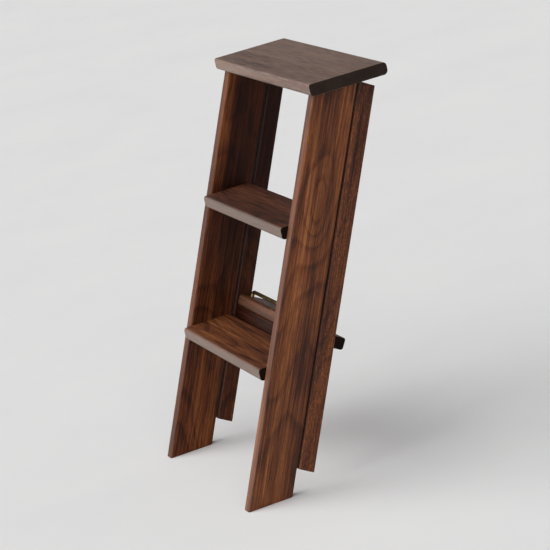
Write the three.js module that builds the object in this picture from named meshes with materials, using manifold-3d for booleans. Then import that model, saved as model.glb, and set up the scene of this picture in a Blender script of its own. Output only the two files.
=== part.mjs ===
// Folding two-tread step ladder in walnut with a hinged rear frame, in millimetres.
// X runs across the treads, Y runs from front to rear and Z is up. The origin is on the
// floor under the middle of the folded ladder. The model stands folded: the front frame's
// treads are level, its feet are flat on the floor, and the rear frame lies against it.

import * as THREE from 'three';
import { mergeVertices } from 'three/addons/utils/BufferGeometryUtils.js';
import Module from 'manifold-3d';

// ---------------------------------------------------------------- driving dimensions
const DEG = Math.PI / 180;
const HEIGHT = 700;                 // floor to the top board's upper face
const STOCK = 22;                   // thickness of every board
const LEAN = 22.5 * DEG;            // lean of the side panels from the vertical
const OPEN_ANGLE = 30 * DEG;        // how far the rear frame swings from the panels
const INNER_WIDTH = 370;            // clear width between the side panels
const PANEL_WIDTH = 79;             // side panel's width, square to its length
const LEG_WIDTH = 31;               // rear leg's width, square to its length
const TOP_FRONT = 270;              // top board's front edge behind the feet's front
const TOP_REAR = 418;               // top board's rear edge behind the feet's front
const SIDE_OVERHANG = 15;           // top board past the outside of each side panel
const TREAD_TOPS = { lower_tread: 235, middle_tread: 465 };
const TREAD_DEPTH = 94.5;           // nosing to rear edge
const NOSE_OUT = 15;                // nosing in front of the panels
const REAR_TREAD_TOP = 240;         // rear tread's upper face with the ladder open
const REAR_TREAD_DEPTH = 54.5;
const REAR_TREAD_SETBACK = 65.5;    // its front edge behind the hinge pin, ladder open
const STRETCHER_HEIGHT = 30;        // cross board under the rear tread
const STRETCHER_SETBACK = 4;        // its face behind the rear tread's front edge
const JOINT_GAP = 0.3;              // clearance kept between touching pieces

// Radii of a board's four long edges, anticlockwise from the rear lower edge.
const SIDE_EDGES = [3.5, 3.5, 3.5, 3.5];
const TREAD_EDGES = [5, 5, 5, 5];
const TOP_EDGES = [8, 7, 4, 7];
const STRETCHER_EDGES = [2, 2, 2, 2];

// The brass hinges sit inside the thickness of the panels and legs, right under the top.
const PIN_R = 1.6;
const PIN_CLEARANCE = 0.06;
const KNUCKLE_R = 3.2;
const LEAF_THICKNESS = 1.1;
const LEAF_LENGTH = 42;             // from the pin down
const HINGE_WIDTH = 15;
const LEAF_GAP = 3;                 // panel to leg, folded
const LEAF_PLAY = 0.15;             // leaf's face off the wood it is screwed to
const PIN_SHORT = 0.4;              // pin shorter than the knuckles
const POCKET_CLEARANCE = 0.6;       // wood round the knuckle
const POCKET_RISE = 8;              // pocket carried up past the board's head
const PIN_DROP = 3.9;               // pin below the top board's underside
const SCREW_R = 1.7;
const SCREW_LENGTH = 13;
const SCREW_HEAD_R = 3.1;
const SCREW_RIM = 0.3;              // straight edge of a countersunk head
const SCREW_FACE = 0.3;             // flat of each head beside the pin's plane
const SCREW_DROPS = [14, 33];       // screws below the pin

// The round brass rail stands on the rear tread.
const RAIL_R = 3.6;
const RAIL_HALF_SPAN = 166;
const RAIL_RISE = 10;               // rail's axis above the rear tread
const RAIL_SETBACK = 17;            // rail's axis behind the rear tread's front edge
const RAIL_BEND_R = 5.5;
const RAIL_SINK = 9;                // length of each rail leg inside the rear tread
const RAIL_SCREW_R = 1.6;
const RAIL_SCREW_HEAD_R = 3.8;
const RAIL_SCREW_LENGTH = 19;       // through the tread and up into the rail's end
const RAIL_SCREW_RECESS = 0.4;      // head above the rear tread's underside
const OVERCUT = 1;                  // how far a tool runs out past a face

const DOWEL_R = 5;
const TREAD_DOWELS = { front: 22, rear: 60 };   // behind the panel's front edge
const TOP_DOWELS = { front: 299, rear: 339 };   // behind the feet's front
const REAR_DOWEL_R = 3.5;
const REAR_DOWELS = { front: 7.5, rear: 19 };   // behind the rear tread's front edge
const STRETCHER_DOWELS = { upper: 7.5, lower: 22.5 };  // below the stretcher's top
const ROUND_SIDES = 20;

const wasm = await Module();
wasm.setup();

// ---------------------------------------------------------------- derived places
const TAN_LEAN = Math.tan(LEAN);
const OPEN_LEAN = OPEN_ANGLE - LEAN;
const TAN_OPEN = Math.tan(OPEN_LEAN);
const PANEL_DEPTH = PANEL_WIDTH / Math.cos(LEAN);
const LEG_DEPTH = LEG_WIDTH / Math.cos(OPEN_LEAN);
const HALF_INNER = INNER_WIDTH / 2;
const SIDE_X = HALF_INNER + STOCK / 2;
const UNDERSIDE = HEIGHT - STOCK;
const PANEL_TOP = UNDERSIDE - JOINT_GAP;
const PIN_Z = UNDERSIDE - PIN_DROP;
const PIN_Y = PIN_Z * TAN_LEAN + PANEL_DEPTH + LEAF_GAP / 2 / Math.cos(LEAN);
const LEG_FRONT = LEAF_GAP / 2 / Math.cos(OPEN_LEAN);
const SIDES = [['left', -1], ['right', 1]];

// ---------------------------------------------------------------- materials
const walnut = (color) => new THREE.MeshStandardMaterial({ color, roughness: 0.5, metalness: 0 });
const WALNUT_TOP = 0x4b352c;
const WALNUT_TREAD = 0x563b2e;
const WALNUT_SIDE = 0x5f3b28;
const WALNUT_LEG = 0x56362a;
const BEECH = 0xb98d5d;
const BRASS = 0xa8854a;
const brass = () => new THREE.MeshStandardMaterial({ color: BRASS, roughness: 0.35, metalness: 1 });

const ladder = new THREE.Group();
ladder.position.y = -TOP_REAR / 2;
const frontFrame = new THREE.Group();
const rearFrame = new THREE.Group();
rearFrame.position.set(0, PIN_Y, PIN_Z);
rearFrame.rotation.x = -OPEN_ANGLE;
ladder.add(frontFrame, rearFrame);

// ---------------------------------------------------------------- shape helpers
function addMesh(group, name, geometry, material) {
  const mesh = new THREE.Mesh(geometry, material);
  mesh.name = name;
  group.add(mesh);
}

function toSolid(geometry) {
  const bare = geometry.clone();
  bare.deleteAttribute('normal');
  bare.deleteAttribute('uv');
  const merged = mergeVertices(bare, 1e-4);
  return new wasm.Manifold(new wasm.Mesh({
    numProp: 3,
    vertProperties: new Float32Array(merged.attributes.position.array),
    triVerts: new Uint32Array(merged.index.array),
  }));
}

function toGeometry(solid) {
  const mesh = solid.getMesh();
  const geometry = new THREE.BufferGeometry();
  geometry.setAttribute('position', new THREE.BufferAttribute(mesh.vertProperties, 3));
  geometry.setIndex(new THREE.BufferAttribute(mesh.triVerts, 1));
  return geometry;
}

function cut(geometry, tools) {
  let solid = toSolid(geometry);
  for (const tool of tools) {
    solid = solid.subtract(toSolid(tool));
  }
  return toGeometry(solid);
}

// A rectangle with four corner radii, anticlockwise from the lower right corner.
function roundedRectangle(width, depth, radii) {
  const [w, d] = [width / 2, depth / 2];
  const corners = [[w, -d], [w, d], [-w, d], [-w, -d]];
  const shape = new THREE.Shape();
  corners.forEach(([x, y], i) => {
    const r = radii[i];
    const start = (i - 1) * Math.PI / 2;
    shape.absarc(x - Math.sign(x) * r, y - Math.sign(y) * r, r, start, start + Math.PI / 2);
  });
  shape.closePath();
  return shape;
}

// An upright board between two heights, sheared so that it leans and both ends stay level.
function leaningBoard(depth, frontAtZero, slope, bottom, top) {
  const shape = roundedRectangle(STOCK, depth, SIDE_EDGES);
  const geometry = new THREE.ExtrudeGeometry(shape, {
    depth: top - bottom, bevelEnabled: false, curveSegments: 4,
  });
  geometry.translate(0, depth / 2 + frontAtZero, bottom);
  const shear = new THREE.Matrix4().makeShear(0, 0, 0, 0, 0, slope);
  return geometry.applyMatrix4(shear);
}

// A level board with eased front and rear edges. Its upper face is at height top.
function levelBoard({ length, front, depth, top, radii, thickness = STOCK }) {
  const shape = roundedRectangle(depth, thickness, radii);
  const geometry = new THREE.ExtrudeGeometry(shape, {
    depth: length, bevelEnabled: false, curveSegments: 5,
  });
  geometry.translate(0, 0, -length / 2);
  geometry.rotateX(Math.PI / 2);
  geometry.rotateZ(Math.PI / 2);
  return geometry.translate(0, front + depth / 2, top - thickness / 2);
}

// A round rod with its axis along X, Y or Z, centred on a point.
function rod(axis, radius, length, x, y, z) {
  const geometry = new THREE.CylinderGeometry(radius, radius, length, ROUND_SIDES);
  if (axis === 'x') {
    geometry.rotateZ(-Math.PI / 2);
  } else if (axis === 'z') {
    geometry.rotateX(Math.PI / 2);
  }
  return geometry.translate(x, y, z);
}

function hole(axis, radius, length, x, y, z) {
  return rod(axis, radius + JOINT_GAP, length + 2 * JOINT_GAP, x, y, z);
}

function box(width, depth, height, x, y, z) {
  return new THREE.BoxGeometry(width, depth, height).translate(x, y, z);
}

// A countersunk screw along -Y: flat head at the origin, shank running to -length.
function screw(shankR, headR, length) {
  const headDepth = headR - shankR;
  const profile = [
    [0, -length], [shankR, -length + shankR], [shankR, -headDepth - SCREW_RIM],
    [headR, -SCREW_RIM], [headR, 0], [0, 0],
  ];
  return new THREE.LatheGeometry(profile.map(([r, y]) => new THREE.Vector2(r, y)), 12);
}

// ---------------------------------------------------------------- dowels
// Tread dowels run along X through each panel joint. Each entry is [name, side, y, z].
const TREAD_DOWEL_LENGTH = 38;
const TREAD_DOWEL_IN_PANEL = 14;
const treadDowels = [];
for (const [tread, top] of Object.entries(TREAD_TOPS)) {
  const z = top - STOCK / 2;
  for (const [side, sign] of SIDES) {
    for (const [place, offset] of Object.entries(TREAD_DOWELS)) {
      const x = sign * (HALF_INNER + TREAD_DOWEL_IN_PANEL - TREAD_DOWEL_LENGTH / 2);
      treadDowels.push({ name: `${side}_${tread}_${place}_dowel`, x, y: z * TAN_LEAN + offset, z });
    }
  }
}

// Top dowels stand upright in the head of each panel.
const TOP_DOWEL_LENGTH = 32;
const TOP_DOWEL_IN_BOARD = 12;
const topDowels = [];
for (const [side, sign] of SIDES) {
  for (const [place, y] of Object.entries(TOP_DOWELS)) {
    const z = UNDERSIDE + TOP_DOWEL_IN_BOARD - TOP_DOWEL_LENGTH / 2;
    topDowels.push({ name: `${side}_top_${place}_dowel`, x: sign * SIDE_X, y, z });
  }
}

// Rear dowels join the rear tread and stretcher to the legs, placed in the open position.
const REAR_DOWEL_LENGTH = 24;
const REAR_DOWEL_IN_LEG = 12;
const REAR_TREAD_FACE = REAR_TREAD_TOP - PIN_Z;
const STRETCHER_TOP = REAR_TREAD_FACE - STOCK - JOINT_GAP;
const STRETCHER_FRONT = REAR_TREAD_SETBACK + STRETCHER_SETBACK;
const rearDowels = [];
for (const [side, sign] of SIDES) {
  const x = sign * (HALF_INNER + REAR_DOWEL_IN_LEG - REAR_DOWEL_LENGTH / 2);
  for (const [place, offset] of Object.entries(REAR_DOWELS)) {
    const y = REAR_TREAD_SETBACK + offset;
    rearDowels.push({ name: `${side}_rear_tread_${place}_dowel`, x, y, z: REAR_TREAD_FACE - STOCK / 2 });
  }
  for (const [place, drop] of Object.entries(STRETCHER_DOWELS)) {
    const y = STRETCHER_FRONT + STOCK / 2;
    rearDowels.push({ name: `${side}_stretcher_${place}_dowel`, x, y, z: STRETCHER_TOP - drop });
  }
}

const treadHoles = treadDowels.map(({ x, y, z }) => hole('x', DOWEL_R, TREAD_DOWEL_LENGTH, x, y, z));
const topHoles = topDowels.map(({ x, y, z }) => hole('z', DOWEL_R, TOP_DOWEL_LENGTH, x, y, z));
const rearHoles = rearDowels.map(({ x, y, z }) => hole('x', REAR_DOWEL_R, REAR_DOWEL_LENGTH, x, y, z));

// ---------------------------------------------------------------- hinges
// A leaf hangs from the pin along -Z with its knuckle on the pin. Its wood face is
// LEAF_GAP / 2 from the pin on the side given by facing: -1 is the panel, 1 the leg.
function leaf(facing, x) {
  const plateY = facing * (LEAF_GAP / 2 - LEAF_THICKNESS / 2 - LEAF_PLAY);
  const plate = box(HINGE_WIDTH, LEAF_THICKNESS, LEAF_LENGTH, x, plateY, -LEAF_LENGTH / 2);
  const knuckle = rod('x', KNUCKLE_R, HINGE_WIDTH, x, 0, 0);
  const bore = rod('x', PIN_R + PIN_CLEARANCE, HINGE_WIDTH + 2 * OVERCUT, x, 0, 0);
  let solid = toSolid(plate).add(toSolid(knuckle)).subtract(toSolid(bore));
  for (const slot of knuckleSlots(facing, x)) {
    solid = solid.subtract(toSolid(slot));
  }
  for (const drop of SCREW_DROPS) {
    const countersink = leafScrew(facing, x, drop, JOINT_GAP);
    solid = solid.subtract(toSolid(countersink));
  }
  return toGeometry(solid);
}

// The panel's leaf keeps the two outer knuckles and the leg's leaf keeps the middle one.
function knuckleSlots(facing, x) {
  const third = HINGE_WIDTH / 3;
  const size = 2 * (KNUCKLE_R + OVERCUT);
  if (facing < 0) {
    return [box(third + 2 * JOINT_GAP, size, size, x, 0, 0)];
  }
  const width = third + OVERCUT;
  const centre = third / 2 + width / 2;
  return [box(width, size, size, x - centre, 0, 0), box(width, size, size, x + centre, 0, 0)];
}

// A hinge screw with its head in the leaf and its shank in the wood behind it.
function leafScrew(facing, x, drop, margin) {
  const geometry = screw(SCREW_R + margin, SCREW_HEAD_R + margin, SCREW_LENGTH + margin);
  if (facing > 0) {
    geometry.rotateZ(Math.PI);
  }
  return geometry.translate(x, facing * SCREW_FACE, -drop);
}

// The pocket in the wood round the knuckle, open at the head of the board.
function knucklePocket(x) {
  const size = 2 * (KNUCKLE_R + POCKET_CLEARANCE);
  return box(HINGE_WIDTH + OVERCUT, size, size + POCKET_RISE, x, 0, POCKET_RISE / 2);
}

// The panel's leaf and pin hang at the panels' lean, so they turn with it about the pin.
function toPanel(geometry) {
  return geometry.rotateX(-LEAN).translate(0, PIN_Y, PIN_Z);
}

// The leg's leaf follows the leg, which leans the other way in the open position.
function toLeg(geometry) {
  return geometry.rotateX(OPEN_LEAN);
}

// ---------------------------------------------------------------- front frame
function sidePanel(side, sign) {
  const x = sign * SIDE_X;
  const board = leaningBoard(PANEL_DEPTH, 0, TAN_LEAN, 0, PANEL_TOP).translate(x, 0, 0);
  const tools = [...treadHoles, ...topHoles, toPanel(knucklePocket(x))];
  for (const drop of SCREW_DROPS) {
    tools.push(toPanel(leafScrew(-1, x, drop, JOINT_GAP)));
  }
  addMesh(frontFrame, `${side}_side_panel`, cut(board, tools), walnut(WALNUT_SIDE));
}

const boardWidth = INNER_WIDTH + 2 * (STOCK + SIDE_OVERHANG);
const treadLength = INNER_WIDTH - 2 * JOINT_GAP;
const topBoard = levelBoard({
  length: boardWidth, front: TOP_FRONT, depth: TOP_REAR - TOP_FRONT, top: HEIGHT, radii: TOP_EDGES,
});
addMesh(frontFrame, 'top_board', cut(topBoard, topHoles), walnut(WALNUT_TOP));

for (const [tread, top] of Object.entries(TREAD_TOPS)) {
  const front = top * TAN_LEAN - NOSE_OUT;
  const board = levelBoard({
    length: treadLength, front, depth: TREAD_DEPTH, top, radii: TREAD_EDGES,
  });
  addMesh(frontFrame, tread, cut(board, treadHoles), walnut(WALNUT_TREAD));
}

for (const { name, x, y, z } of treadDowels) {
  addMesh(frontFrame, name, rod('x', DOWEL_R, TREAD_DOWEL_LENGTH, x, y, z), walnut(BEECH));
}
for (const { name, x, y, z } of topDowels) {
  addMesh(frontFrame, name, rod('z', DOWEL_R, TOP_DOWEL_LENGTH, x, y, z), walnut(BEECH));
}

for (const [side, sign] of SIDES) {
  const x = sign * SIDE_X;
  sidePanel(side, sign);
  addMesh(frontFrame, `${side}_hinge_panel_leaf`, toPanel(leaf(-1, x)), brass());
  const pin = rod('x', PIN_R, HINGE_WIDTH - PIN_SHORT, x, 0, 0);
  addMesh(frontFrame, `${side}_hinge_pin`, toPanel(pin), brass());
  SCREW_DROPS.forEach((drop, i) => {
    const geometry = toPanel(leafScrew(-1, x, drop, 0));
    addMesh(frontFrame, `${side}_panel_hinge_screw_${i + 1}`, geometry, brass());
  });
}

// ---------------------------------------------------------------- rear frame
// Everything here is placed from the hinge pin in the open position, where the legs' ends
// are level and the legs' heads lie flat under the top board.
const railY = REAR_TREAD_SETBACK + RAIL_SETBACK;
const railFootZ = REAR_TREAD_FACE - RAIL_SINK;
const railHeadZ = REAR_TREAD_FACE - STOCK + RAIL_SCREW_RECESS;

function rearLeg(side, sign) {
  const x = sign * SIDE_X;
  const board = leaningBoard(LEG_DEPTH, LEG_FRONT, -TAN_OPEN, -PIN_Z, PIN_DROP - JOINT_GAP);
  board.translate(x, 0, 0);
  const tools = [...rearHoles, toLeg(knucklePocket(x))];
  for (const drop of SCREW_DROPS) {
    tools.push(toLeg(leafScrew(1, x, drop, JOINT_GAP)));
  }
  addMesh(rearFrame, `${side}_rear_leg`, cut(board, tools), walnut(WALNUT_LEG));
}

// The rail: two legs standing in the rear tread and a long bar between them.
function brassRail() {
  const axisZ = REAR_TREAD_FACE + RAIL_RISE;
  const path = new THREE.CurvePath();
  const point = (x, z) => new THREE.Vector3(x, railY, z);
  const inner = RAIL_HALF_SPAN - RAIL_BEND_R;
  const low = axisZ - RAIL_BEND_R;
  path.add(new THREE.LineCurve3(point(-RAIL_HALF_SPAN, railFootZ), point(-RAIL_HALF_SPAN, low)));
  path.add(new THREE.QuadraticBezierCurve3(
    point(-RAIL_HALF_SPAN, low), point(-RAIL_HALF_SPAN, axisZ), point(-inner, axisZ)));
  path.add(new THREE.LineCurve3(point(-inner, axisZ), point(inner, axisZ)));
  path.add(new THREE.QuadraticBezierCurve3(
    point(inner, axisZ), point(RAIL_HALF_SPAN, axisZ), point(RAIL_HALF_SPAN, low)));
  path.add(new THREE.LineCurve3(point(RAIL_HALF_SPAN, low), point(RAIL_HALF_SPAN, railFootZ)));
  const section = new THREE.Shape();
  section.absarc(0, 0, RAIL_R, 0, 2 * Math.PI);
  return new THREE.ExtrudeGeometry(section, {
    extrudePath: path, steps: 120, bevelEnabled: false, curveSegments: 7,
  });
}

// A screw up through the rear tread into the rail's end.
function railScrew(sign, margin) {
  const geometry = screw(RAIL_SCREW_R + margin, RAIL_SCREW_HEAD_R + margin, RAIL_SCREW_LENGTH + margin);
  geometry.rotateX(-Math.PI / 2);
  return geometry.translate(sign * RAIL_HALF_SPAN, railY, railHeadZ);
}

// The rear tread's cuts at each end of the rail: socket, screw hole and head recess.
function railCuts(sign) {
  const x = sign * RAIL_HALF_SPAN;
  const socketMid = REAR_TREAD_FACE + OVERCUT - RAIL_SINK / 2;
  return [
    hole('z', RAIL_R, RAIL_SINK + 2 * OVERCUT, x, railY, socketMid),
    railScrew(sign, JOINT_GAP),
    rod('z', RAIL_SCREW_HEAD_R + JOINT_GAP, 2 * OVERCUT, x, railY, railHeadZ - OVERCUT + JOINT_GAP),
  ];
}

const rearTread = levelBoard({
  length: treadLength, front: REAR_TREAD_SETBACK, depth: REAR_TREAD_DEPTH, top: REAR_TREAD_FACE,
  radii: TREAD_EDGES,
});
const railTools = SIDES.flatMap(([, sign]) => railCuts(sign));
addMesh(rearFrame, 'rear_tread', cut(rearTread, [...rearHoles, ...railTools]), walnut(WALNUT_TREAD));

const stretcher = levelBoard({
  length: treadLength, front: STRETCHER_FRONT, depth: STOCK, top: STRETCHER_TOP,
  radii: STRETCHER_EDGES, thickness: STRETCHER_HEIGHT,
});
addMesh(rearFrame, 'rear_stretcher', cut(stretcher, rearHoles), walnut(WALNUT_LEG));

const railScrewHoles = SIDES.map(([, sign]) => railScrew(sign, JOINT_GAP));
addMesh(rearFrame, 'brass_rail', cut(brassRail(), railScrewHoles), brass());
for (const [side, sign] of SIDES) {
  addMesh(rearFrame, `${side}_rail_screw`, railScrew(sign, 0), brass());
}

for (const { name, x, y, z } of rearDowels) {
  addMesh(rearFrame, name, rod('x', REAR_DOWEL_R, REAR_DOWEL_LENGTH, x, y, z), walnut(BEECH));
}

for (const [side, sign] of SIDES) {
  const x = sign * SIDE_X;
  rearLeg(side, sign);
  addMesh(rearFrame, `${side}_hinge_leg_leaf`, toLeg(leaf(1, x)), brass());
  SCREW_DROPS.forEach((drop, i) => {
    const geometry = toLeg(leafScrew(1, x, drop, 0));
    addMesh(rearFrame, `${side}_leg_hinge_screw_${i + 1}`, geometry, brass());
  });
}

export default ladder;
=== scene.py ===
"""Folding walnut step ladder: boards, materials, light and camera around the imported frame.

Metres, +Z up. The front frame stands with its treads level and the rear frame folded
against it. Boards are rebuilt here with finely eased edges and take the place of the
plain CAD boards; hinges, pins, screws, dowels and the brass rail are the CAD's own.
"""

import math

import bmesh
import bpy
from mathutils import Matrix, Vector


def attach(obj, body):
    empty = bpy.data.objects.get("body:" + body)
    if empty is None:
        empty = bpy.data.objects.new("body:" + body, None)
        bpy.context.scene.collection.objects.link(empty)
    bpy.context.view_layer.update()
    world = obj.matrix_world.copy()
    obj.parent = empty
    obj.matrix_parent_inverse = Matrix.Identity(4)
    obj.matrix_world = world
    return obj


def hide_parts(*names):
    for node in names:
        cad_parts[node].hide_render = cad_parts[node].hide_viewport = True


# ------------------------------------------------------------------ driving dimensions
LEAN = math.radians(22.5)           # side panels from the vertical
FOLD = math.radians(30.0)           # rear frame from its open position
STOCK = 0.022
HALF_INNER = 0.185                  # half the clear width between the panels
SIDE_X = HALF_INNER + STOCK / 2
FRONT_Y = -0.209                    # front of the feet
PANEL_WIDTH = 0.079                 # square to its length
PANEL_TOP = 0.6777
LEG_WIDTH = 0.031
LEG_FRONT = 0.0015 / math.cos(FOLD - LEAN)
PIN_Z = 0.6741
PIN_Y = FRONT_Y + PIN_Z * math.tan(LEAN) + (PANEL_WIDTH + 0.0015) / math.cos(LEAN)
LEG_HEAD = 0.0036                   # leg's head above the pin, ladder open
POCKET = (0.016, 0.0076, 0.0156)    # cut round the hinge knuckle
POCKET_MIDDLE = 0.004               # its middle above the pin
HEIGHT = 0.700
TOP_FRONT = FRONT_Y + 0.270
TOP_DEPTH = 0.148
TOP_LENGTH = 0.444
TREAD_TOPS = {"lower_tread": 0.235, "middle_tread": 0.465}
TREAD_LENGTH = 0.3694
TREAD_DEPTH = 0.0945
NOSE_OUT = 0.015                    # nosing in front of the panels
REAR_TREAD_TOP = 0.240 - PIN_Z      # from the pin, ladder open
REAR_TREAD_FRONT = 0.0655
REAR_TREAD_DEPTH = 0.0545
STRETCHER_TOP = REAR_TREAD_TOP - STOCK - 0.0003
STRETCHER_FRONT = REAR_TREAD_FRONT + 0.004
STRETCHER_HEIGHT = 0.030

# Edge radii: rear lower, rear upper, front upper and front lower edge of a level board.
SIDE_EDGE_R = 0.0035
TREAD_EDGES = (0.005, 0.004, 0.0055, 0.006)
TOP_EDGES = (0.008, 0.007, 0.004, 0.007)
STRETCHER_EDGES = (0.002, 0.002, 0.002, 0.002)
END_EASE = 0.0008

# ------------------------------------------------------------------ camera
CAMERA_PLACE = Vector((4.2305, -1.4878, 1.5916))
CAMERA_FORWARD = Vector((-0.90786, 0.32073, -0.27004))
CAMERA_ROLL = math.radians(-12.6)
LENS_MM = 169.5
SENSOR_MM = 36.0

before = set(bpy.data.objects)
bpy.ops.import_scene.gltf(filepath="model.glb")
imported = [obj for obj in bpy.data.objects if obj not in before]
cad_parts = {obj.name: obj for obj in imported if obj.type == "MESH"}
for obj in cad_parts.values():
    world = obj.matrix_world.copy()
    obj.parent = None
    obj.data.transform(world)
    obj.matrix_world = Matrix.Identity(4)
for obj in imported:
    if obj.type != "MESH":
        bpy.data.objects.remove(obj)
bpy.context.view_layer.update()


# ------------------------------------------------------------------ node helpers
class Nodes:
    """A small wrapper that adds nodes to one tree and links or sets their inputs."""

    def __init__(self, material):
        material.use_nodes = True
        self.tree = material.node_tree
        self.tree.nodes.clear()

    def add(self, kind, inputs=None, **settings):
        node = self.tree.nodes.new("ShaderNode" + kind)
        for name, value in settings.items():
            setattr(node, name, value)
        for key, value in (inputs or {}).items():
            socket = node.inputs[key]
            if isinstance(value, bpy.types.NodeSocket):
                self.tree.links.new(value, socket)
            else:
                socket.default_value = value
        return node

    def math(self, operation, a, b=0.0, clamp=False):
        return self.add("Math", {0: a, 1: b}, operation=operation, use_clamp=clamp).outputs[0]

    def noise(self, vector, scale, detail=3.0, roughness=0.55, distortion=0.0):
        inputs = {"Vector": vector, "Scale": scale, "Detail": detail,
                  "Roughness": roughness, "Distortion": distortion}
        return self.add("TexNoise", inputs).outputs["Fac"]

    def stretched(self, vector, along, across):
        scale = self.add("VectorMath", {0: vector, 1: (along, across, across)}, operation="MULTIPLY")
        return scale.outputs[0]

    def ramp(self, factor, stops, interpolation="LINEAR"):
        node = self.add("ValToRGB", {"Fac": factor})
        ramp = node.color_ramp
        ramp.interpolation = interpolation
        while len(ramp.elements) < len(stops):
            ramp.elements.new(0.5)
        for element, (place, color) in zip(ramp.elements, stops):
            element.position = place
            element.color = (*color, 1.0)
        return node.outputs["Color"]

    def mix(self, factor, a, b, blend="MIX"):
        node = self.add("Mix", data_type="RGBA", blend_type=blend)
        for index, value in ((0, factor), (6, a), (7, b)):
            if isinstance(value, bpy.types.NodeSocket):
                self.tree.links.new(value, node.inputs[index])
            else:
                node.inputs[index].default_value = value if index == 0 else (*value, 1.0)
        return node.outputs[2]

    def finish(self, shader):
        self.add("OutputMaterial", {"Surface": shader.outputs[0]})


def grain_rotation(length, across):
    """Turns the board's length onto X and its width onto Y for the grain textures."""
    length = Vector(length).normalized()
    across = Vector(across).normalized()
    rows = (length, across, length.cross(across))
    return Matrix(rows).to_euler()


# ------------------------------------------------------------------ walnut
WALNUT_STOPS = (
    (0.18, (0.012, 0.0038, 0.0020)),
    (0.36, (0.044, 0.0130, 0.0052)),
    (0.50, (0.118, 0.0370, 0.0125)),
    (0.64, (0.215, 0.0800, 0.0270)),
    (0.84, (0.360, 0.1600, 0.0640)),
)
TONE_SHIFT = 0.475                  # brings the layers' average to the middle stop
RING_STOPS = (
    (0.00, (0.62, 0.62, 0.62)),
    (0.55, (0.55, 0.55, 0.55)),
    (0.86, (0.12, 0.12, 0.12)),
    (1.00, (0.60, 0.60, 0.60)),
)
# Near-black end grain, partly its own colour and partly painted shade.
END_GRAIN_AND_SHADE_STOPS = (
    (0.35, (0.004, 0.002, 0.0012)),
    (0.70, (0.017, 0.009, 0.0055)),
)
PORE_BROWN = (0.008, 0.003, 0.002)
PAINTED_SHEEN_GREY = (0.205, 0.160, 0.136)    # pale grey painted sheen, on the top board and on front faces painted lighter

# Tints that multiply the walnut's colour.
AMBER = (1.25, 0.98, 0.72)
# Darkening that is partly heartwood and partly painted shade.
HEARTWOOD_AND_SHADE = (0.26, 0.18, 0.14)
GLINT = (2.3, 2.2, 2.1)
RUBBED = (1.8, 1.7, 1.6)

RING_SPACING = 0.0062
RING_DRIFT = 0.045                  # lines' shift across the board for each metre along it
RING_RIPPLE = 0.0016
KNOT_PUSH = 0.020
KNOT_FADE = (13.0, 42.0)            # how fast a knot's push fades along and across, per metre
HEARTWOOD_AND_SHADE_RISE = 45.0               # how fast the darkening, heartwood and painted shade, sets in behind the front edge
EDGE_REACH = 0.0025                 # how far the rubbed band reaches in from an edge


def growth_rings(n, grain, offset, pith, knot, wander):
    """Dark late-wood lines round a pith line that lies under the board's face, straying from
    it by up to wander. A knot, given as (along, across), pushes them aside where it is."""
    local = n.add("VectorMath", {0: grain, 1: offset}, operation="SUBTRACT")
    place = n.add("SeparateXYZ", {"Vector": local.outputs[0]})
    side = n.math("SUBTRACT", place.outputs[1], pith[0])
    depth = n.math("SUBTRACT", place.outputs[2], pith[1])
    squares = n.math("ADD", n.math("MULTIPLY", side, side), n.math("MULTIPLY", depth, depth))
    radius = n.math("SQRT", squares)
    bend = n.noise(n.stretched(grain, 3.2, 7.0), 1.0, 2.0, 0.5)
    ripple = n.noise(n.stretched(grain, 14.0, 60.0), 1.0, 2.0, 0.5)
    ring_place = n.math("ADD", radius, n.math("MULTIPLY", place.outputs[0], RING_DRIFT))
    ring_place = n.math("ADD", ring_place, n.math("MULTIPLY", bend, wander))
    ring_place = n.math("ADD", ring_place, n.math("MULTIPLY", ripple, RING_RIPPLE))
    if knot:
        along = n.math("MULTIPLY", n.math("SUBTRACT", place.outputs[0], knot[0]), KNOT_FADE[0])
        across = n.math("MULTIPLY", n.math("SUBTRACT", place.outputs[1], knot[1]), KNOT_FADE[1])
        reach = n.math("ADD", n.math("MULTIPLY", along, along), n.math("MULTIPLY", across, across))
        push = n.math("POWER", math.e, n.math("MULTIPLY", reach, -1.0))
        ring_place = n.math("ADD", ring_place, n.math("MULTIPLY", push, KNOT_PUSH))
    year = n.math("FRACT", n.math("DIVIDE", ring_place, RING_SPACING))
    return n.ramp(year, RING_STOPS)


def fibres(n, grain):
    """Broad bands, streaks and fine lines along the board."""
    broad = n.noise(n.stretched(grain, 2.2, 34.0), 1.0, 3.0, 0.55, 0.3)
    streak = n.noise(n.stretched(grain, 6.0, 260.0), 1.0, 4.0, 0.6)
    fine = n.noise(n.stretched(grain, 22.0, 900.0), 1.0, 3.0, 0.65)
    return broad, streak, fine


def figure(n, rings, broad, streak, fine):
    """Every layer pulls the tone up or down from the middle of the walnut colours."""
    tone = n.math("ADD", n.math("MULTIPLY", broad, 0.62), n.math("MULTIPLY", rings, 0.20))
    tone = n.math("ADD", tone, n.math("MULTIPLY", streak, 0.62))
    tone = n.math("ADD", tone, n.math("MULTIPLY", fine, 0.52))
    return n.ramp(n.math("SUBTRACT", tone, TONE_SHIFT), WALNUT_STOPS)


def glints(n, color, grain, share):
    """Short pale flecks where cut pores catch the light."""
    short = n.noise(n.stretched(grain, 170.0, 480.0), 1.0, 2.0, 0.6)
    catching = n.ramp(short, ((0.53, (0, 0, 0)), (0.64, (1, 1, 1))))
    lit = n.mix(1.0, color, GLINT, "MULTIPLY")
    return n.mix(n.math("MULTIPLY", catching, share), color, lit)


def amber_shift(n, color, grain):
    """A slow shift between purple brown and amber."""
    hue = n.noise(n.stretched(grain, 3.0, 14.0), 1.0, 1.0)
    warm = n.mix(1.0, color, AMBER, "MULTIPLY")
    return n.mix(n.math("MULTIPLY", hue, 0.6), color, warm)


# Painted sheen: patches pulled towards pale grey, standing in for light glancing off oiled wood,
# mostly on the top board.
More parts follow.
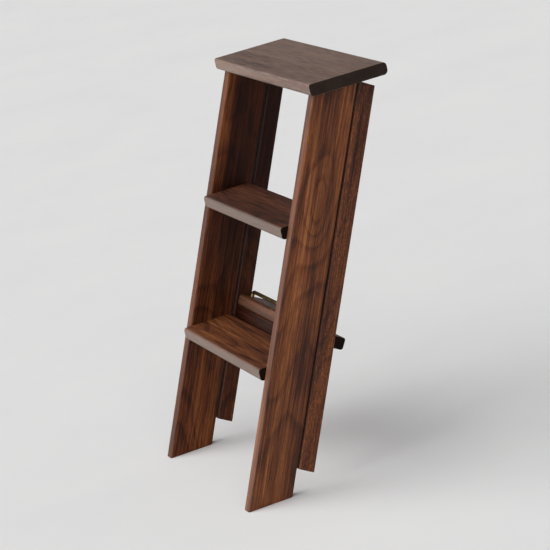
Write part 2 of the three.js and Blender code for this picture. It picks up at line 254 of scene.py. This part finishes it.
def painted_sheen_patches(n, color, broad, fine, painted_sheen):
    patchy = n.math("ADD", n.math("MULTIPLY", fine, 4.0), n.math("MULTIPLY", broad, 2.0))
    sheen_share = n.math("MULTIPLY", n.math("SUBTRACT", patchy, 2.0), painted_sheen, clamp=True)
    return n.mix(sheen_share, color, PAINTED_SHEEN_GREY)


def heartwood_and_shade_share(n, turned, rate):
    """Darker towards a side board's head and away from its front edge: partly heartwood, partly
    painted shade inside the ladder.
    """
    wander = n.math("SUBTRACT", n.noise(n.stretched(turned, 5.0, 40.0), 1.0, 2.0), 0.5)
    place = n.add("SeparateXYZ", {"Vector": turned})
    along = n.math("ADD", place.outputs[0], n.math("MULTIPLY", wander, 0.5))
    head = n.math("MULTIPLY", along, rate, clamp=True)
    behind = n.math("ADD", place.outputs[1], -FRONT_Y * math.cos(LEAN))
    behind = n.math("ADD", behind, n.math("MULTIPLY", wander, 0.03))
    return n.math("MULTIPLY", head, n.math("MULTIPLY", behind, HEARTWOOD_AND_SHADE_RISE, clamp=True))


def paint_front_light(n, color, normal, fine, wear):
    """Painted light and sheen: faces turned to the front, towards the window light, are painted paler
    and greyer.
    """
    front = n.add("VectorMath", {0: normal, 1: (0.0, -1.0, 0.0)}, operation="DOT_PRODUCT")
    front_lit_share = n.math("MULTIPLY", n.math("MAXIMUM", front.outputs["Value"], 0.0), wear)
    return n.mix(n.math("MULTIPLY", front_lit_share, n.math("ADD", fine, 0.5)), color, PAINTED_SHEEN_GREY)


def rubbed_edges(n, color, place):
    """Edges are rubbed a little lighter, in patches."""
    soft = n.add("Bevel", {"Radius": EDGE_REACH}, samples=4)
    flat = n.add("NewGeometry").outputs["Normal"]
    turn = n.add("VectorMath", {0: soft.outputs[0], 1: flat}, operation="DOT_PRODUCT")
    edge = n.math("MULTIPLY", n.math("SUBTRACT", 1.0, turn.outputs["Value"]), 5.0, clamp=True)
    patchy = n.math("MULTIPLY", edge, n.noise(place, 60.0, 3.0))
    pale = n.mix(1.0, color, RUBBED, "MULTIPLY")
    return n.mix(n.math("MULTIPLY", patchy, 0.5), color, pale)


def oiled_surface(n, color, place, streak, fine, pores, end, gloss):
    """Satin oil with open pores. End grain shines least."""
    rough = n.math("ADD", n.math("MULTIPLY", streak, 0.25), 0.36)
    rough = n.math("ADD", rough, n.math("MULTIPLY", n.noise(place, 22.0, 3.0), 0.10))
    height = n.math("SUBTRACT", n.math("MULTIPLY", fine, 0.6), n.math("MULTIPLY", pores, 0.5))
    bump = n.add("Bump", {"Height": height, "Strength": 0.35, "Distance": 0.0004})
    sheen = n.math("MULTIPLY", n.math("SUBTRACT", 1.0, n.math("MULTIPLY", end, 0.75)), gloss)
    return n.add("BsdfPrincipled", {"Base Color": color, "Roughness": rough,
                                    "Specular IOR Level": sheen, "Normal": bump.outputs[0]})


def walnut(name, length, across, offset, tint=(1.0, 1.0, 1.0), pith=(0.012, -0.035), knot=None,
           fleck=0.5, gloss=0.25, painted_sheen=0.0, heartwood_and_shade=0.0, painted_front_light=0.12, wander=0.045,
           end_stain_and_shade=1.0, glint=0.0):
    """Oiled walnut: growth rings, broad bands, fine streaks and pores along the board, with painted
    sheen, painted light on front faces and painted shade on inner sides and end faces where the
    settings ask for it.
    """
    material = bpy.data.materials.new(name)
    n = Nodes(material)
    place = n.add("TexCoord").outputs["Object"]
    normal = n.add("TexCoord").outputs["Normal"]
    turned = n.add("Mapping", {"Vector": place, "Rotation": grain_rotation(length, across)})
    turned = turned.outputs[0]
    grain = n.add("VectorMath", {0: turned, 1: offset}, operation="ADD").outputs[0]

    rings = growth_rings(n, grain, offset, pith, knot, wander)
    broad, streak, fine = fibres(n, grain)
    pore_noise = n.noise(n.stretched(grain, 85.0, 1300.0), 1.0, 2.0, 0.6)
    pores = n.ramp(pore_noise, ((0.34, (1, 1, 1)), (0.46, (0, 0, 0))))
    color = figure(n, rings, broad, streak, fine)
    color = n.mix(n.math("MULTIPLY", pores, fleck), color, PORE_BROWN)
    if glint:
        color = glints(n, color, grain, glint)
    color = amber_shift(n, color, grain)
    color = n.mix(1.0, color, tint, "MULTIPLY")
    # Painted sheen.
    if painted_sheen:
        color = painted_sheen_patches(n, color, broad, fine, painted_sheen)
    # Partly heartwood, partly painted shade on the ladder's shaded inside.
    if heartwood_and_shade:
        heartwood_and_shade_color = n.mix(1.0, color, HEARTWOOD_AND_SHADE, "MULTIPLY")
        color = n.mix(heartwood_and_shade_share(n, turned, heartwood_and_shade), color, heartwood_and_shade_color)

    # End grain drinks the oil and goes dark; its near-black is partly the end grain's own colour and
    # partly painted shade of the end faces.
    facing = n.add("VectorMath", {0: normal, 1: Vector(length).normalized()}, operation="DOT_PRODUCT")
    end = n.math("POWER", n.math("ABSOLUTE", facing.outputs["Value"]), 4.0)
    speckle = n.noise(n.stretched(grain, 700.0, 700.0), 1.0, 2.0)
    dark_end_and_shade = n.ramp(speckle, END_GRAIN_AND_SHADE_STOPS)
    color = n.mix(n.math("MULTIPLY", end, end_stain_and_shade), color, dark_end_and_shade)

    # Painted light: front faces paler and greyer.
    color = paint_front_light(n, color, normal, fine, painted_front_light)
    color = rubbed_edges(n, color, place)
    n.finish(oiled_surface(n, color, place, streak, fine, pores, end, gloss))
    return material


# ------------------------------------------------------------------ brass and beech
def brass(name, stops, roughness):
    """Satin brass with a patchy tarnish and fine rubbing marks."""
    material = bpy.data.materials.new(name)
    n = Nodes(material)
    place = n.add("TexCoord").outputs["Object"]
    tarnish = n.noise(place, 45.0, 4.0, 0.6)
    marks = n.noise(n.stretched(place, 90.0, 1400.0), 1.0, 3.0)
    color = n.ramp(tarnish, stops)
    rough = n.math("ADD", n.math("MULTIPLY", marks, 0.16), n.math("MULTIPLY", tarnish, 0.22))
    rough = n.math("ADD", rough, roughness)
    bump = n.add("Bump", {"Height": marks, "Strength": 0.12, "Distance": 0.0001})
    shader = n.add("BsdfPrincipled", {"Base Color": color, "Roughness": rough,
                                      "Normal": bump.outputs[0]})
    shader.inputs["Metallic"].default_value = 1.0
    n.finish(shader)
    return material


def beech(name):
    """Plain pale beech for the hidden dowels."""
    material = bpy.data.materials.new(name)
    n = Nodes(material)
    place = n.add("TexCoord").outputs["Object"]
    fleck = n.noise(n.stretched(place, 60.0, 700.0), 1.0, 3.0)
    color = n.ramp(fleck, ((0.3, (0.36, 0.21, 0.10)), (0.7, (0.58, 0.39, 0.22))))
    bump = n.add("Bump", {"Height": fleck, "Strength": 0.2, "Distance": 0.0002})
    shader = n.add("BsdfPrincipled", {"Base Color": color, "Normal": bump.outputs[0]})
    shader.inputs["Roughness"].default_value = 0.6
    n.finish(shader)
    return material


# ------------------------------------------------------------------ boards
ARC_STEPS = 7
EASE_STEPS = 3
LEAST_RADIUS = 0.0002               # keeps an eased end's corners from closing up
QUARTER_TURN = math.radians(90)


def rounded_section(width, depth, radii, inset):
    """Points round a rectangle, anticlockwise from its lower right corner."""
    points = []
    for i, (side, rise) in enumerate(((1, -1), (1, 1), (-1, 1), (-1, -1))):
        radius = max(radii[i] - inset, LEAST_RADIUS)
        across = side * (width / 2 - inset - radius)
        up = rise * (depth / 2 - inset - radius)
        for step in range(ARC_STEPS + 1):
            angle = QUARTER_TURN * (i - 1 + step / ARC_STEPS)
            points.append((across + radius * math.cos(angle), up + radius * math.sin(angle)))
    return points


def sweep(name, width, depth, radii, length, place):
    """A board with four rounded long edges and eased ends. place turns a point given as
    (across, up, along) into the frame, with along running from 0 to length."""
    stations = []
    for step in range(EASE_STEPS + 1):
        angle = QUARTER_TURN * step / EASE_STEPS
        stations.append((END_EASE * (1 - math.cos(angle)), END_EASE * (1 - math.sin(angle))))
    rings = list(stations)
    rings += [(length - along, inset) for along, inset in reversed(stations)]
    vertices = []
    for along, inset in rings:
        section = rounded_section(width, depth, radii, inset)
        vertices += [place(across, up, along) for across, up in section]
    count = 4 * (ARC_STEPS + 1)
    faces = [tuple(reversed(range(count))), tuple(range(len(vertices) - count, len(vertices)))]
    for ring in range(len(rings) - 1):
        for i in range(count):
            j = (i + 1) % count
            low, high = ring * count, (ring + 1) * count
            faces.append((low + i, low + j, high + j, high + i))
    mesh = bpy.data.meshes.new(name)
    mesh.from_pydata(vertices, [], faces)
    work = bmesh.new()
    work.from_mesh(mesh)
    bmesh.ops.recalc_face_normals(work, faces=work.faces)
    work.to_mesh(mesh)
    work.free()
    mesh.polygons.foreach_set("use_smooth", [True] * len(mesh.polygons))
    board = bpy.data.objects.new(name, mesh)
    bpy.context.collection.objects.link(board)
    return board


def finish_board(board, node, body, material):
    board.modifiers.new("flat faces", "WEIGHTED_NORMAL").weight = 90
    board.data.materials.append(material)
    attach(board, body)
    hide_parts(node)


def fold_down(point):
    """From the rear frame's open position about the pin to its folded place."""
    return Matrix.Rotation(-FOLD, 3, "X") @ point + Vector((0, PIN_Y, PIN_Z))


def cut_pocket(board, sign):
    """The hinge knuckle's pocket, open at the head of a panel or leg."""
    mesh = bpy.data.meshes.new("pocket")
    work = bmesh.new()
    bmesh.ops.create_cube(work, size=1.0)
    bmesh.ops.scale(work, vec=POCKET, verts=work.verts)
    bmesh.ops.translate(work, vec=(0, 0, POCKET_MIDDLE), verts=work.verts)
    bmesh.ops.rotate(work, matrix=Matrix.Rotation(-LEAN, 3, "X"), verts=work.verts)
    bmesh.ops.translate(work, vec=(sign * SIDE_X, PIN_Y, PIN_Z), verts=work.verts)
    work.to_mesh(mesh)
    work.free()
    cutter = bpy.data.objects.new("pocket", mesh)
    bpy.context.collection.objects.link(cutter)
    cutter.hide_render = True
    cutter.hide_viewport = True
    modifier = board.modifiers.new("hinge pocket", "BOOLEAN")
    modifier.operation = "DIFFERENCE"
    modifier.object = cutter


def side_panel(side, sign, material):
    """Leaning panel with level ends: its level section is stretched front to rear."""
    stretch = 1 / math.cos(LEAN)
    middle = FRONT_Y + PANEL_WIDTH * stretch / 2

    def place(across, up, along):
        return Vector((sign * SIDE_X + across, middle + up * stretch + along * math.tan(LEAN), along))

    name = f"{side}_panel_board"
    panel = sweep(name, STOCK, PANEL_WIDTH, [SIDE_EDGE_R] * 4, PANEL_TOP, place)
    cut_pocket(panel, sign)
    finish_board(panel, f"{side}_side_panel", "front_frame", material)


def rear_leg(side, sign, material):
    """Rear leg, built in its open position and folded against the panel."""
    stretch = 1 / math.cos(FOLD - LEAN)
    slope = math.tan(FOLD - LEAN)
    middle = LEG_FRONT + PIN_Z * slope + LEG_WIDTH * stretch / 2

    def place(across, up, along):
        y = middle + up * stretch - along * slope
        return fold_down(Vector((sign * SIDE_X + across, y, along - PIN_Z)))

    length = PIN_Z + LEG_HEAD
    leg = sweep(f"{side}_leg_board", STOCK, LEG_WIDTH, [SIDE_EDGE_R] * 4, length, place)
    cut_pocket(leg, sign)
    finish_board(leg, f"{side}_rear_leg", "rear_frame", material)


def level_board(node, body, size, front, top, radii, material, turn=None):
    """A board along X. size is (length, depth, thickness); turn folds it if it's given."""
    length, depth, thickness = size

    def place(across, up, along):
        point = Vector((along - length / 2, front + depth / 2 + across, top - thickness / 2 + up))
        return turn(point) if turn else point

    board = sweep(f"{node}_board", depth, thickness, radii, length, place)
    finish_board(board, node, body, material)


ALONG_SIDE = (0.0, math.sin(LEAN), math.cos(LEAN))
ACROSS_SIDE = (0.0, math.cos(LEAN), -math.sin(LEAN))
ALONG_X = (1.0, 0.0, 0.0)
ACROSS_Y = (0.0, 1.0, 0.0)
ACROSS_REAR = (0.0, math.cos(FOLD), -math.sin(FOLD))


def side_boards():
    panel_left = walnut("walnut left panel", ALONG_SIDE, ACROSS_SIDE, (3.1, 0.4, 0.2),
                        tint=(0.96, 0.88, 0.82), pith=(-0.14, -0.23), gloss=0.15, heartwood_and_shade=2.4)
    panel_right = walnut("walnut right panel", ALONG_SIDE, ACROSS_SIDE, (7.4, 1.3, 0.6),
                         tint=(1.07, 1.02, 0.98), pith=(-0.16, 0.17), knot=(0.470, -0.148))
    leg_left = walnut("walnut left leg", ALONG_SIDE, ACROSS_SIDE, (11.2, 2.1, 0.9),
                      tint=(0.64, 0.55, 0.52), pith=(-0.08, -0.24), fleck=0.95, gloss=0.15,
                      heartwood_and_shade=2.4)
    leg_right = walnut("walnut right leg", ALONG_SIDE, ACROSS_SIDE, (15.7, 2.9, 1.7),
                       tint=(0.60, 0.52, 0.51), pith=(-0.08, 0.16), fleck=0.95, glint=0.7)
    side_panel("left", -1, panel_left)
    side_panel("right", 1, panel_right)
    rear_leg("left", -1, leg_left)
    rear_leg("right", 1, leg_right)


def level_boards():
    finishes = {
        "lower_tread": walnut("walnut lower tread", ALONG_X, ACROSS_Y, (19.3, 3.7, 2.3),
                              pith=(-0.10, 0.19), painted_front_light=0.72, wander=0.014),
        "middle_tread": walnut("walnut middle tread", ALONG_X, ACROSS_Y, (23.8, 4.2, 2.8),
                               tint=(0.60, 0.50, 0.52), pith=(-0.02, 0.43), painted_sheen=0.06,
                               painted_front_light=0.68),
    }
    for node, top in TREAD_TOPS.items():
        front = FRONT_Y + top * math.tan(LEAN) - NOSE_OUT
        size = (TREAD_LENGTH, TREAD_DEPTH, STOCK)
        level_board(node, "front_frame", size, front, top, TREAD_EDGES, finishes[node])
    # The top board's grey patches are painted sheen.
    top_finish = walnut("walnut top board", ALONG_X, ACROSS_Y, (31.9, 6.6, 3.9),
                        pith=(0.17, 0.64), gloss=0.45, painted_sheen=0.54, painted_front_light=0.0,
                        end_stain_and_shade=0.90)
    size = (TOP_LENGTH, TOP_DEPTH, STOCK)
    level_board("top_board", "front_frame", size, TOP_FRONT, HEIGHT, TOP_EDGES, top_finish)
    rear_finish = walnut("walnut rear tread", ALONG_X, ACROSS_REAR, (27.5, 5.1, 3.3),
                         tint=(0.70, 0.68, 0.64), painted_front_light=0.15)
    size = (TREAD_LENGTH, REAR_TREAD_DEPTH, STOCK)
    level_board("rear_tread", "rear_frame", size, REAR_TREAD_FRONT, REAR_TREAD_TOP, TREAD_EDGES,
                rear_finish, fold_down)
    # The stretcher's very dark tint is painted shade of the recess under the rear tread.
    stretcher_in_painted_shade = walnut("walnut stretcher", ALONG_X, ACROSS_REAR, (35.2, 7.3, 4.4),
                              tint=(0.25, 0.17, 0.14), gloss=0.12, painted_front_light=0.0)
    size = (TREAD_LENGTH, STOCK, STRETCHER_HEIGHT)
    level_board("rear_stretcher", "rear_frame", size, STRETCHER_FRONT, STRETCHER_TOP,
                STRETCHER_EDGES, stretcher_in_painted_shade, fold_down)


side_boards()
level_boards()

# ------------------------------------------------------------------ CAD hardware
RAIL_BRASS = (
    (0.32, (0.105, 0.070, 0.026)),
    (0.52, (0.230, 0.160, 0.064)),
    (0.72, (0.360, 0.260, 0.110)),
)
HINGE_BRASS = (
    (0.32, (0.022, 0.015, 0.009)),
    (0.52, (0.045, 0.032, 0.018)),
    (0.72, (0.090, 0.065, 0.032)),
)


SHARP_ANGLE = math.radians(35.0)


def smooth(node):
    """Round hardware is shaded smooth and its real corners stay sharp."""
    split = node.modifiers.new("sharp corners", "EDGE_SPLIT")
    split.split_angle = SHARP_ANGLE
    node.data.polygons.foreach_set("use_smooth", [True] * len(node.data.polygons))


def hardware():
    rail_finish = brass("satin brass", RAIL_BRASS, 0.20)
    hinge_finish = brass("darkened brass", HINGE_BRASS, 0.32)
    dowel_finish = beech("beech dowel")
    for name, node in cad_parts.items():
        if "dowel" in name:
            finish = dowel_finish
        elif "hinge" in name:
            finish = hinge_finish
        elif "rail" in name:
            finish = rail_finish
        else:
            continue
        node.data.materials.clear()
        node.data.materials.append(finish)
        smooth(node)


hardware()

# ------------------------------------------------------------------ stage, light, camera
FLOOR_REACH = 30.0                  # half the floor's side


def floor():
    mesh = bpy.data.meshes.new("floor")
    reach = FLOOR_REACH
    corners = [(-reach, -reach, 0), (reach, -reach, 0), (reach, reach, 0), (-reach, reach, 0)]
    mesh.from_pydata(corners, [], [(0, 1, 2, 3)])
    plane = bpy.data.objects.new("floor", mesh)
    bpy.context.collection.objects.link(plane)
    material = bpy.data.materials.new("pale floor")
    n = Nodes(material)
    mottle = n.noise(n.add("TexCoord").outputs["Object"], 3.0, 4.0)
    color = n.ramp(mottle, ((0.3, (0.84, 0.84, 0.845)), (0.7, (0.87, 0.87, 0.87))))
    shader = n.add("BsdfPrincipled", {"Base Color": color})
    shader.inputs["Roughness"].default_value = 0.8
    n.finish(shader)
    mesh.materials.append(material)


def soft_sun(name, toward, spread, strength, color):
    """Even light from a broad soft source in the given direction."""
    data = bpy.data.lights.new(name, "SUN")
    data.angle = math.radians(spread)
    data.energy = strength
    data.color = color
    lamp = bpy.data.objects.new(name, data)
    lamp.rotation_euler = Vector(toward).to_track_quat("Z", "Y").to_euler()
    bpy.context.collection.objects.link(lamp)


def studio():
    world = bpy.data.worlds.new("studio")
    bpy.context.scene.world = world
    world.use_nodes = True
    background = world.node_tree.nodes["Background"]
    background.inputs["Color"].default_value = (0.97, 0.98, 1.0, 1.0)
    background.inputs["Strength"].default_value = 0.25
    soft_sun("window", (-0.30, -0.80, 0.52), 75.0, 2.8, (1.0, 0.99, 0.98))
    soft_sun("room fill", (0.78, -0.52, 0.35), 80.0, 1.3, (1.0, 0.99, 0.97))
    bpy.context.scene.view_settings.view_transform = "Standard"


def camera():
    data = bpy.data.cameras.new("camera")
    data.lens = LENS_MM
    data.sensor_width = SENSOR_MM
    cam = bpy.data.objects.new("camera", data)
    cam.location = CAMERA_PLACE
    aim = CAMERA_FORWARD.to_track_quat("-Z", "Y").to_matrix()
    cam.rotation_euler = (aim @ Matrix.Rotation(CAMERA_ROLL, 3, "Z")).to_euler()
    bpy.context.collection.objects.link(cam)
    bpy.context.scene.camera = cam


floor()
studio()
camera()
